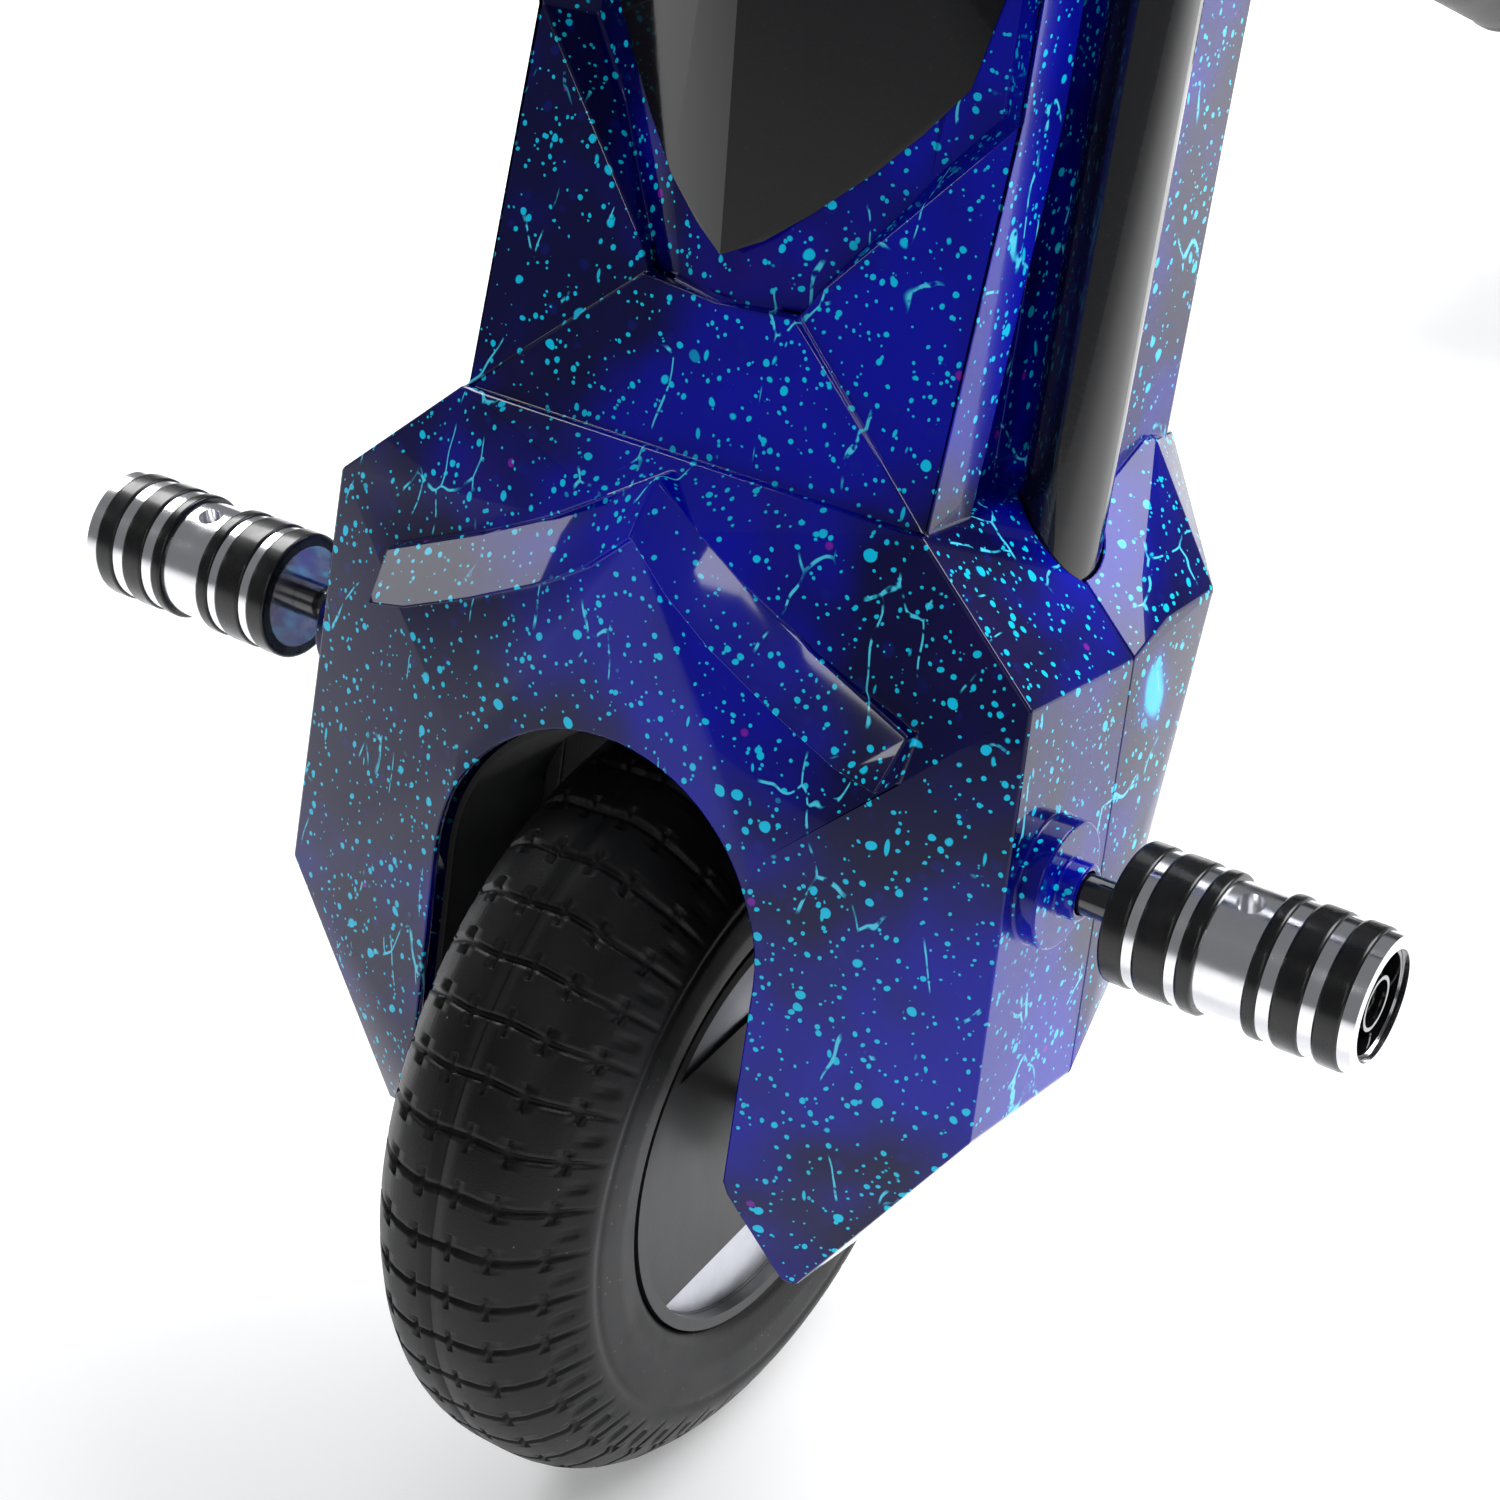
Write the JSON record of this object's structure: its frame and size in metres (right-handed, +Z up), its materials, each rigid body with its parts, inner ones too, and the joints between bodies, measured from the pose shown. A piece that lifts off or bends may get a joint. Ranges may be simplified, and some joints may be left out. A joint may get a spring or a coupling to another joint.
{
  "type": "electric drift trike",
  "caption": "Three-wheel electric drift trike with a steered, faired hub-motor front wheel, foot pegs, bucket seat and two swivel casters.",
  "frame": {"origin": "on the ground at the centre of the outline, below the middle of the trike", "axes": "+Z up, the trike faces -Y, +X is the rider's left, X=0 is the centre plane"},
  "size_m": [0.5, 1.4524, 0.6916],
  "materials": {
    "head_tube": "satin",
    "head_bearings": "polished",
    "backbone_tube": "satin",
    "rear_cross_tube": "satin",
    "caster_plates": "satin",
    "seat_brackets": "satin",
    "seat_shell": "grained",
    "seat_pad": "woven",
    "seat_bolts": "zinc",
    "battery_case": "grained",
    "battery_lid": "grained",
    "battery_pack": "shrink wrap",
    "motor_controller": "anodised",
    "charge_socket": "plain",
    "charge_cap": "plain",
    "steering_stem": "turned",
    "lower_crown": "satin",
    "upper_crown": "satin",
    "fork_bridge": "satin",
    "fork_tubes": "gloss",
    "fork_leg_left": "satin",
    "fork_leg_right": "satin",
    "peg_brackets": "satin",
    "peg_studs": "satin",
    "peg_core_left": "polished",
    "peg_core_right": "polished",
    "peg_rings_left": "glossy",
    "peg_rings_right": "glossy",
    "peg_plugs": "moulded",
    "front_cover": "speckled film under clear coat",
    "rear_cover": "speckled film under clear coat",
    "visor": "polished",
    "headlight": "frosted",
    "wheel_liner": "plain",
    "cover_screws": "black oxide",
    "wheel_axle": "plain",
    "axle_nuts": "zinc",
    "motor_stator": "varnished",
    "handlebar": "gloss",
    "bar_clamps": "satin",
    "grip_left": "ribbed",
    "throttle_grip": "ribbed",
    "throttle_base": "plain",
    "brake_bracket": "black anodised",
    "brake_lever": "brushed",
    "dash_housing": "grained",
    "dash_screen": "clear",
    "power_button": "plain",
    "tyre": "matte, block tread",
    "inner_tube": "plain",
    "rim_shell": "black painted",
    "hub_cover_left": "black painted",
    "hub_cover_right": "black painted",
    "hub_windows": "machined",
    "magnet_ring": "nickel",
    "wheel_bearings": "polished",
    "caster_fork_left": "zinc",
    "caster_wheel_left": "plain",
    "caster_fork_right": "zinc",
    "caster_wheel_right": "plain"
  },
  "bodies": {
    "frame": {"head_tube": "head_tube", "head_bearings": "head_bearings", "backbone_tube": "backbone_tube", "rear_cross_tube": "rear_cross_tube", "caster_plates": "caster_plates", "seat_brackets": "seat_brackets", "seat_shell": "seat_shell", "seat_pad": "seat_pad", "seat_bolts": "seat_bolts", "battery_case": "battery_case", "battery_lid": "battery_lid", "battery_pack": "battery_pack", "motor_controller": "motor_controller", "charge_socket": "charge_socket"},
    "fork": {"steering_stem": "steering_stem", "lower_crown": "lower_crown", "upper_crown": "upper_crown", "fork_bridge": "fork_bridge", "fork_tubes": "fork_tubes", "fork_leg_left": "fork_leg_left", "fork_leg_right": "fork_leg_right", "peg_brackets": "peg_brackets", "peg_studs": "peg_studs", "peg_core_left": "peg_core_left", "peg_core_right": "peg_core_right", "peg_rings_left": "peg_rings_left", "peg_rings_right": "peg_rings_right", "peg_plugs": "peg_plugs", "front_cover": "front_cover", "rear_cover": "rear_cover", "visor": "visor", "headlight": "headlight", "wheel_liner": "wheel_liner", "cover_screws": "cover_screws", "wheel_axle": "wheel_axle", "axle_nuts": "axle_nuts", "motor_stator": "motor_stator", "handlebar": "handlebar", "bar_clamps": "bar_clamps", "grip_left": "grip_left", "throttle_base": "throttle_base", "brake_bracket": "brake_bracket", "dash_housing": "dash_housing", "dash_screen": "dash_screen"},
    "charge_cap": {"charge_cap": "charge_cap"},
    "throttle": {"throttle_grip": "throttle_grip"},
    "lever": {"brake_lever": "brake_lever"},
    "button": {"power_button": "power_button"},
    "front_wheel": {"tyre": "tyre", "inner_tube": "inner_tube", "rim_shell": "rim_shell", "hub_cover_left": "hub_cover_left", "hub_cover_right": "hub_cover_right", "hub_windows": "hub_windows", "magnet_ring": "magnet_ring", "wheel_bearings": "wheel_bearings"},
    "caster_left": {"caster_fork_left": "caster_fork_left"},
    "caster_left_wheel": {"caster_wheel_left": "caster_wheel_left"},
    "caster_right": {"caster_fork_right": "caster_fork_right"},
    "caster_right_wheel": {"caster_wheel_right": "caster_wheel_right"}
  },
  "joints": [
    {"name": "steering", "type": "hinge", "parent": "frame", "child": "fork", "pos_m": [0, -0.4473, 0.52826], "axis": [0, 0.2419, 0.9703], "range_deg": [-36, 36]},
    {"name": "front_wheel_spin", "type": "hinge", "parent": "fork", "child": "front_wheel", "pos_m": [0, -0.59875, 0.1275], "axis": [1, 0, 0], "continuous": true},
    {"name": "throttle_twist", "type": "hinge", "parent": "fork", "child": "throttle", "pos_m": [-0.195, -0.44625, 0.66889], "axis": [-1, 0, 0], "range_deg": [0, 60], "stiffness_Nm_per_rad": 0.3},
    {"name": "brake_squeeze", "type": "hinge", "parent": "fork", "child": "lever", "pos_m": [0.13, -0.47536, 0.67614], "axis": [0, 0.2419, 0.9703], "range_deg": [0, 11], "stiffness_Nm_per_rad": 2},
    {"name": "power_press", "type": "slide", "parent": "fork", "child": "button", "axis": [0, -0.2419, -0.9703], "range_m": [0, 0.0015], "stiffness_N_per_m": 600},
    {"name": "charge_cap_hinge", "type": "hinge", "parent": "frame", "child": "charge_cap", "pos_m": [0.0897, 0.33125, 0.1549], "axis": [0, -1, 0], "range_deg": [0, 100], "stiffness_Nm_per_rad": 0.02},
    {"name": "caster_left_swivel", "type": "hinge", "parent": "frame", "child": "caster_left", "pos_m": [0.17, 0.65125, 0.135], "axis": [0, 0, 1], "continuous": true},
    {"name": "caster_left_spin", "type": "hinge", "parent": "caster_left", "child": "caster_left_wheel", "pos_m": [0.17, 0.68125, 0.045], "axis": [1, 0, 0], "continuous": true},
    {"name": "caster_right_swivel", "type": "hinge", "parent": "frame", "child": "caster_right", "pos_m": [-0.17, 0.65125, 0.135], "axis": [0, 0, 1], "continuous": true},
    {"name": "caster_right_spin", "type": "hinge", "parent": "caster_right", "child": "caster_right_wheel", "pos_m": [-0.17, 0.68125, 0.045], "axis": [1, 0, 0], "continuous": true}
  ]
}
